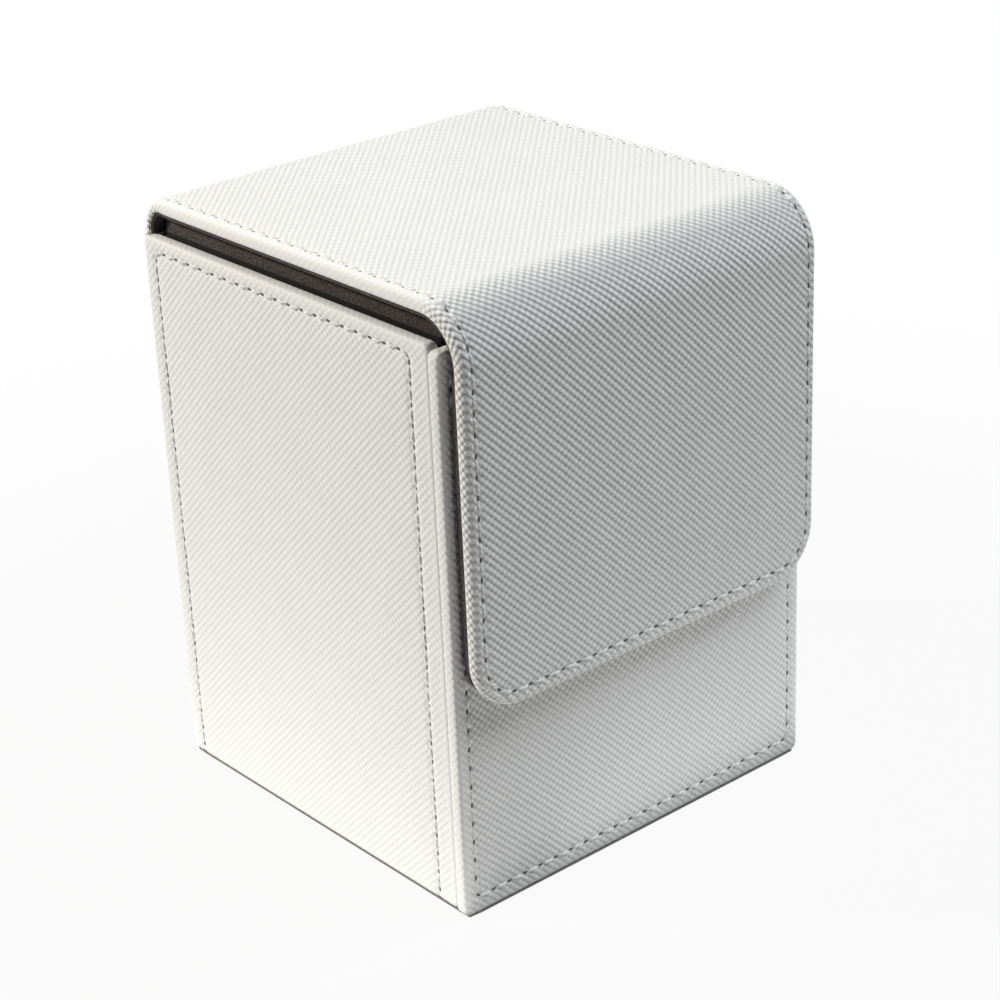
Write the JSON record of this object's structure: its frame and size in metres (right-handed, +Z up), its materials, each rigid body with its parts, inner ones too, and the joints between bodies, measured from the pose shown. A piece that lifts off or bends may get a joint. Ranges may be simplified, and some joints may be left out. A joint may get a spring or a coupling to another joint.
{
  "type": "card storage box",
  "caption": "Flip-top card box in ribbed white leatherette: sewn panels, dark suede liner, and a hinged lid whose magnetic flap folds down over the front.",
  "frame": {"origin": "on the ground, at the middle of the closed box's footprint", "axes": "+Z up, the flap and front panel face -Y, +X to the right as seen from the front"},
  "size_m": [0.075, 0.0794, 0.102],
  "materials": {
    "leatherette": "satin, fine diagonal ribs, white stitching",
    "suede": "short matte nap",
    "greyboard": "bare card",
    "magnet": "nickel plated",
    "base_card": "matte grey sheet"
  },
  "bodies": {
    "box": {"base_sheet": "base_card", "base_skin": "leatherette", "base_board": "greyboard", "left_side_skin": "leatherette", "left_side_board": "greyboard", "right_side_skin": "leatherette", "right_side_board": "greyboard", "front_skin": "leatherette", "front_board": "greyboard", "front_magnets": "magnet", "back_skin": "leatherette", "back_board": "greyboard", "liner_floor": "suede", "liner_left_wall": "suede", "liner_right_wall": "suede", "liner_front_wall": "suede", "liner_back_wall": "suede", "back_crease_skin": "leatherette", "back_crease_lining": "suede"},
    "lid": {"lid_skin": "leatherette", "lid_board": "greyboard", "lid_lining": "suede", "front_bend_skin": "leatherette", "front_bend_lining": "suede"},
    "flap": {"flap_skin": "leatherette", "flap_board": "greyboard", "flap_magnets": "magnet", "flap_lining": "suede"}
  },
  "joints": [
    {"name": "lid_hinge", "type": "hinge", "parent": "box", "child": "lid", "pos_m": [0, 0.03825, 0.10055], "axis": [-1, 0, 0], "range_deg": [0, 175], "deforming": ["back_crease_skin", "back_crease_lining"]},
    {"name": "flap_hinge", "type": "hinge", "parent": "lid", "child": "flap", "pos_m": [0, -0.03663, 0.09893], "axis": [-1, 0, 0], "range_deg": [0, 90], "deforming": ["front_bend_skin", "front_bend_lining"]}
  ]
}
